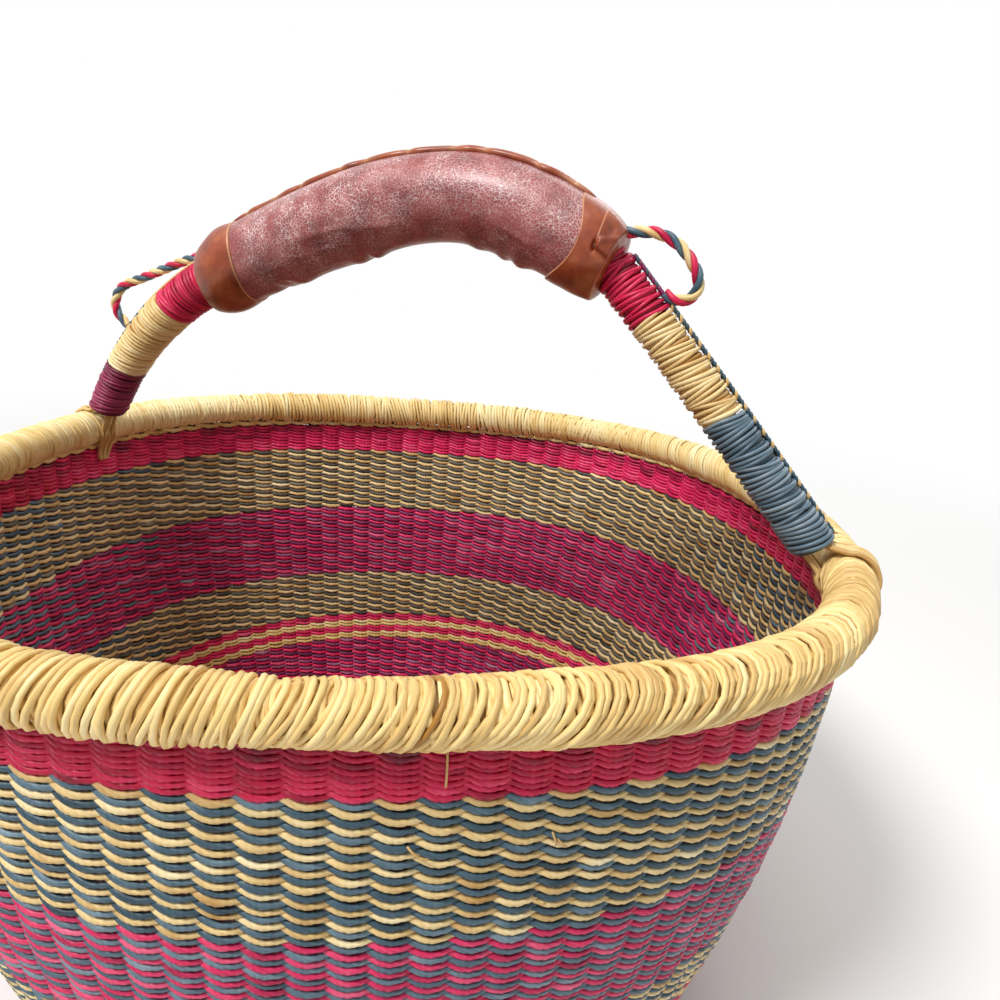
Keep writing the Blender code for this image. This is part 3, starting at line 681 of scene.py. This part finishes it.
swell -= 0.0012 * np.clip((place - sleeve_right - 0.003) / 0.008, 0, 1)
wear = (1 - 0.80 * under) * (0.75 + 0.25 * np.cos((along + 60) / 30))
wear *= 0.2 + 0.8 * np.clip((place - sleeve_left - 0.009) / 0.006 + 0.3 * np.sin(3 * q), 0, 1)
sleeve = lofted("grip_sleeve_leather", grip_surface(place, q, sleeve_radius(place) + swell)[None],
                maroon_leather, "glazed_maroon_leather", wear=wear[None], edge=(0 * q)[None])
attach(sleeve, "handle")
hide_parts("grip_sleeve")

# Collars: a wrap of plain tan skin at each end of the sleeve. It laps the sleeve with a pale cut edge and draws
# in to the leg. The right one is folded over itself on top, where the cord loop comes out, with a deep dent by
# the fold. Places along a collar are shares of its length, and each dent has its place along and round, its
# depth and its reach along and round.
LAP = 0.10
FOOT = 1.035
FOLD_PLACE = 0.46
FOLD_TURN = 1.36
FOLD_HEIGHT = 0.0008
SKIN = 0.0010
NECK_RADIUS = 0.0121
FOOT_DRAW = 0.0036
bulges = {"left": 0.0012, "right": 0.0}


def step_up(value):
    """0 below 0, 1 above 1, and 3 v^2 - 2 v^3 between."""
    share = np.clip(value, 0, 1)
    return share * share * (3 - 2 * share)


gathers = {"left": ((0.55, 1.0, 0.0005, 0.30, 0.30), (0.30, 2.2, 0.0004, 0.20, 0.5),
                    (0.75, 0.4, 0.0008, 0.25, 0.25)),
           "right": ((0.47, 1.30, 0.0026, 0.055, 0.10), (0.30, 2.6, 0.0004, 0.15, 0.4),
                     (0.80, 2.2, 0.0004, 0.2, 0.5), (0.74, 0.75, 0.0007, 0.10, 0.22))}
lengthwise = np.concatenate([np.linspace(-LAP, 0, 9)[:-1], np.linspace(0, 1, 81), np.linspace(1, FOOT, 5)[1:]])
for side, end in (("left", -1), ("right", 1)):
    along, q = np.meshgrid(lengthwise, 2 * np.pi * np.arange(144) / 144, indexing="ij")
    top_share = 0.5 + 0.5 * np.cos(q)
    if side == "right":
        shift = (0.38 * np.sin(q) ** 2 + 0.10 * (1 - top_share)) * (FOOT - along) - 0.10 * top_share * along
    else:
        shift = -0.30 * (0.5 + 0.5 * np.cos(q - 0.6)) - 0.10 * np.sin(q) ** 2 * (1 - along)
    place = (sleeve_left if end < 0 else sleeve_right) + end * (along + shift) * collar_run
    body = sleeve_radius(place) + 0.0006
    lip = np.clip((along + LAP) / 0.05, 0, 1)
    radius = sleeve_radius(place) - 0.0004 + SKIN * np.sqrt(1 - (1 - lip) ** 2)
    radius += (NECK_RADIUS - body) * np.clip(along, 0, 1) ** 3
    radius += bulges[side] * np.sin(np.pi * np.clip(along, 0, 1))
    radius -= FOOT_DRAW * np.clip((along - 0.94) / 0.095, 0, 1) ** 2
    radius += 0.00020 * np.sin(3 * q + 5 * along) * np.clip(along, 0, 1)
    edge = np.exp(-((along + 0.075) / 0.012) ** 2) * 0.8 + np.exp(-((along - 0.985) / 0.012) ** 2) * 0.4
    if side == "right":
        past_fold = along - FOLD_PLACE
        folded = step_up((FOLD_TURN - q) / 0.06) * step_up((q - 0.10) / 0.3)
        radius += FOLD_HEIGHT * folded * step_up(past_fold / 0.03)
        valley = np.exp(-((q - FOLD_TURN - 0.04) / 0.06) ** 2)
        radius -= FOLD_HEIGHT * valley * step_up((past_fold + 0.01) / 0.06)
        ridge = q - FOLD_TURN + 0.06 + 0.9 * (past_fold - 0.01)
        radius += 0.0006 * np.exp(-(ridge / 0.09) ** 2) * step_up((past_fold - 0.04) / 0.1)
        cut = np.exp(-((past_fold - 0.015) / 0.010) ** 2)
        edge += 0.7 * cut * step_up((FOLD_TURN - q) / 0.1) * step_up((q - 0.2) / 0.2)
    for spot, round_spot, depth, long_reach, round_reach in gathers[side]:
        bend = (q - round_spot + np.pi) % (2 * np.pi) - np.pi
        radius -= depth * np.exp(-((along - spot) / long_reach) ** 2 - (bend / round_reach) ** 2)
    if end < 0:
        place, q, radius, edge = (array[::-1] for array in (place, q, radius, edge))
    collar = lofted("grip_collar_" + side + "_leather", grip_surface(place, q, radius)[None], tan_leather,
                    "tan_leather", wear=(0.3 + 0 * q)[None], edge=np.clip(edge, 0, 1)[None])
    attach(collar, "handle")
    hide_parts("grip_collar_" + side)

# Seam: the two edges of the sleeve are rolled together along the top and whipped down every 13 mm.
WHIP_PITCH = 0.013
place = np.linspace(sleeve_left + 0.003, sleeve_right + 0.002, 260)
stitch = place / WHIP_PITCH + 0.15 * np.sin(300 * place)
pinch = np.abs(np.sin(np.pi * stitch)) ** 0.5
seam_line = grip_surface(place, 0.08 + 0.03 * np.sin(2 * np.pi * stitch), sleeve_radius(place) + 0.0006)
away = unit(seam_line - grip_surface(place, 0 * place, 0 * place))
taper = np.sqrt(np.clip(np.minimum(place - place[0], place[-1] - place) / 0.006, 0.05, 1))
high = taper * (0.0009 + 0.0005 * pinch)
wide = taper * (0.0012 + 0.0006 * pinch)
seam = lofted("grip_seam_leather", ring(seam_line[None], away[None], high[None], wide[None], 12), tan_leather,
              "tan_leather", wear=0.3 + 0 * place[None], edge=(0.5 * (1 - pinch))[None])
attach(seam, "handle")
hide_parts("grip_seam")

# Legs: straw wound tight round the bundle in two layers, crimson, then natural, then wine on the left leg and
# blue-grey on the right. The outer layer slants and crosses itself here and there, and the under layer lies in
# its shade, which is painted: its tone is darkened. The left leg bows outwards.
WINDING_PITCH = 0.00165
WINDING_POINTS = 20
WINDING_WIDE = 0.00086
OUTER_NARROWER = 0.00013
INNER_DEPTH = 0.0014
LAYER_STEP = 0.0007
INNER_LAYER_PAINTED_SHADE = 0.34
FOOT_INSET = 0.0045
CRIMSON_END = 0.0203
STRAW_END = 0.0600
LEG_CLEARANCE = 0.0105


class Leg:
    """A leg of the handle, from the grip's end to the rim: its line, a parabola over the chord, its radius at
    both ends, and how far its winding leans."""

    def __init__(self, side, end, place, bow, radii, lean):
        self.side = side
        self.end = end
        self.bow = bow
        self.radii = radii
        self.lean = lean
        self.bend = grip_surface(np.array(place), np.array(0.0), np.array(0.0))
        self.rim = np.array((end * rim_reach, 0, rim_level))
        aim = np.array((end * (rim_reach - FOOT_INSET), 0, rim_level))
        self.length = np.linalg.norm(aim - self.bend)
        self.down = (aim - self.bend) / self.length
        self.out = np.array((-end * self.down[2], 0, end * self.down[0]))

    def radius(self, distance):
        """Outer radius of the winding, even from the bend to the foot."""
        return self.radii[0] + (self.radii[1] - self.radii[0]) * distance / self.length

    def square(self, distance):
        """The direction outwards, square to the leg's line."""
        bend = self.bow * 4 * (1 - 2 * distance / self.length) / self.length
        return unit(self.out - self.down * np.asarray(bend)[..., None])

    def at(self, distance, out=0.0, forward=0.0):
        """The point at a distance down the leg's line, moved outwards square to it and forward."""
        distance = np.asarray(distance)
        share = distance / self.length
        line = (self.bend + self.down * distance[..., None]
                + self.out * (self.bow * 4 * share * (1 - share))[..., None])
        outwards = self.square(distance) * np.asarray(out)[..., None]
        return line + outwards + FRONT * np.asarray(forward)[..., None]


def by_wrap(wraps, spread):
    """Chance values that drift from turn to turn of a leg's winding."""
    knots = np.arange(round(wraps[-1]) + 2)
    return np.interp(wraps, knots, wander(len(knots), spread))


legs = (Leg("left", -1, GRIP_LEFT, 0.0080, (0.0090, 0.00775), 0.0013),
        Leg("right", 1, GRIP_RIGHT, 0.0004, (0.0075, 0.0074), 0.0012))
last_dye = {"left": ("wine", wine_straw, "wine_straw"), "right": ("blue", blue_straw, "blue_grey_straw")}
outer = np.array([[0], [1]])
for leg in legs:
    windings = (("crimson", crimson_straw, "crimson_straw"), ("straw", natural_straw, "natural_straw"),
                last_dye[leg.side])
    places = (-0.003, CRIMSON_END, STRAW_END, leg.length - LEG_CLEARANCE)
    for (dye, finish, slot), low, high in zip(windings, places, places[1:]):
        turns = round((high - low) / WINDING_PITCH)
        wraps = np.linspace(0, turns, turns * WINDING_POINTS + 1)
        bind = 2 * np.pi * wraps
        slip = by_wrap(wraps, 0.00014) * outer
        tilt = leg.lean + by_wrap(wraps, 0.00100) * outer
        distance = low + (high - low) * (wraps + 0.5 * (1 - outer)) / turns + tilt * np.cos(bind) + slip
        distance = np.clip(distance, low, high)
        reach = leg.radius(distance) - INNER_DEPTH + outer * (LAYER_STEP + by_wrap(wraps, 0.00012))
        strand = leg.at(distance, reach * np.cos(bind), reach * np.sin(bind) * leg.end)
        away = strand - leg.at(distance)
        # Painted shade: the under layer's tone is lowered.
        tone = 0.54 + by_wrap(wraps, 0.14) - INNER_LAYER_PAINTED_SHADE * (1 - outer)
        fat = 1 + by_wrap(wraps, 0.12)
        rings = ring(strand, away, STRAW_HIGH * fat, (WINDING_WIDE - OUTER_NARROWER * outer) * fat, 7)
        winding = lofted(f"leg_{dye}_{leg.side}_winding", rings, finish, slot, tone=tone)
        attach(winding, "handle")
        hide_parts(f"leg_{dye}_{leg.side}")

# Plaits: three straws plaited flat and laid close along the outside of each leg, from the collar to the rim.
# The right one starts purple and blue-grey, goes on in blue-grey and natural, and turns to the back as it goes
# down; the left one starts in natural. A strand's dye is 0 for blue-grey, 1 for natural and 2 for purple.
PLAIT_PITCH = 0.0050
PLAIT_HIGH = 0.00055
PLAIT_WIDE = 0.00085
PLAIT_REACH = 0.0012
BLUE, NATURAL, PURPLE = 0, 1, 2
plait_straw = straw_finish("plaited_elephant_grass", [blue_dyes, natural_dyes, purple_dye_and_painted_shade_tones])
plait_tone = {"left": 0.35, "right": 0.2}
for leg in legs:
    distance = np.linspace(0.001, leg.length - LEG_CLEARANCE, 220)
    phase = 2 * np.pi * (distance / PLAIT_PITCH + strand_number / 3)
    turned_back = (0.10 + 0.45 * distance / leg.length) * (leg.side == "right")
    out = leg.radius(distance) + 0.0003 + 0.0003 * np.sin(2 * phase)
    over = PLAIT_REACH * np.sin(phase)
    strands = leg.at(distance + 0 * phase, out * np.cos(turned_back) + over * np.sin(turned_back),
                     over * np.cos(turned_back) - out * np.sin(turned_back))
    guide = (leg.square(distance + 0 * phase) * np.cos(turned_back)[:, None]
             - FRONT * np.sin(turned_back)[:, None])
    lower_dye = np.where(strand_number == 0, NATURAL, BLUE)
    if leg.side == "right":
        dye = np.where(distance < 0.018, np.where(strand_number == 2, BLUE, PURPLE), lower_dye)
    else:
        dye = np.where(distance < 0.030, NATURAL, lower_dye)
    rings = ring(strands, guide, PLAIT_HIGH, PLAIT_WIDE, 7)
    plait = lofted("leg_spine_" + leg.side + "_plait", rings, plait_straw, "blue_grey_straw",
                   tone=plait_tone[leg.side] + 0.1 * np.sin(phase), dye=dye)
    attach(plait, "handle")
    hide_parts("leg_spine_" + leg.side)

# Roots: at the rim each leg's bundle splits in two. Half the straws pass over the rim and down outside, half go
# down inside, both close to the binding, and are worked into the wall under it. Each root's way round the rim
# is given in degrees: 0 is level outside, 90 on top and 180 level inside.
ROOT_HIGH = 0.00075
ROOT_WIDE = 0.00058
ROOT_CLEARANCE = 0.0009
TAIL_OUT = 0.0026
tail_drops = (0.0118, 0.0150)
for leg in legs:
    for name, side, degrees, straws in (("outer", 1, (104, 82, 58, 32, 5, -20, -42), 9),
                                        ("inner", -1, (176, 194, 212, 228), 7)):
        turn = np.radians(np.array(degrees, float))
        reach = rim_tube + ROOT_CLEARANCE
        around_rim = leg.rim + np.stack([leg.end * np.cos(turn), 0 * turn, np.sin(turn)], -1) * reach
        wall_face = leg.end * (wall_reach + side * TAIL_OUT)
        tail = np.array([(wall_face, 0, rim_level - drop) for drop in tail_drops])
        knots = np.vstack([leg.at(leg.length - np.array((0.024, 0.0115)), side * np.array((0.0026, 0.0030))),
                           around_rim, tail])
        line = smooth_path(knots, 6)
        share = np.linspace(0, 1, len(line))
        fan = (np.arange(straws) - (straws - 1) / 2)[:, None]
        stack = np.where(np.arange(straws) % 2, 0.5, -0.5)[:, None]
        ahead = unit(np.gradient(line, axis=0))
        square = np.cross(ahead, FRONT)
        spread = fan * (0.0006 + 0.0005 * np.sin(np.pi * share)) + 0.0004 * np.sin(5 * share + 2 * fan)
        strands = (line + FRONT * spread[..., None]
                   + square * (stack * 0.0009 * np.cos(4 * share + fan))[..., None])
        tone = 0.30 + wander(straws, 0.12)[:, None] + 0 * share
        rings = ring(strands, np.broadcast_to(square, strands.shape), ROOT_HIGH, ROOT_WIDE, 7)
        root = lofted(f"root_{name}_{leg.side}_straws", rings, natural_straw, "natural_straw", tone=tone)
        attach(root, "handle")
        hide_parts(f"root_{name}_{leg.side}")

# Straw bundle inside the handle: the solid itself, in plain natural straw.
bundle_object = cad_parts["handle_core"]
bundle_object.data.materials.clear()
bundle_object.data.materials.append(straw_finish("handle_bundle_grass", [natural_dyes]))
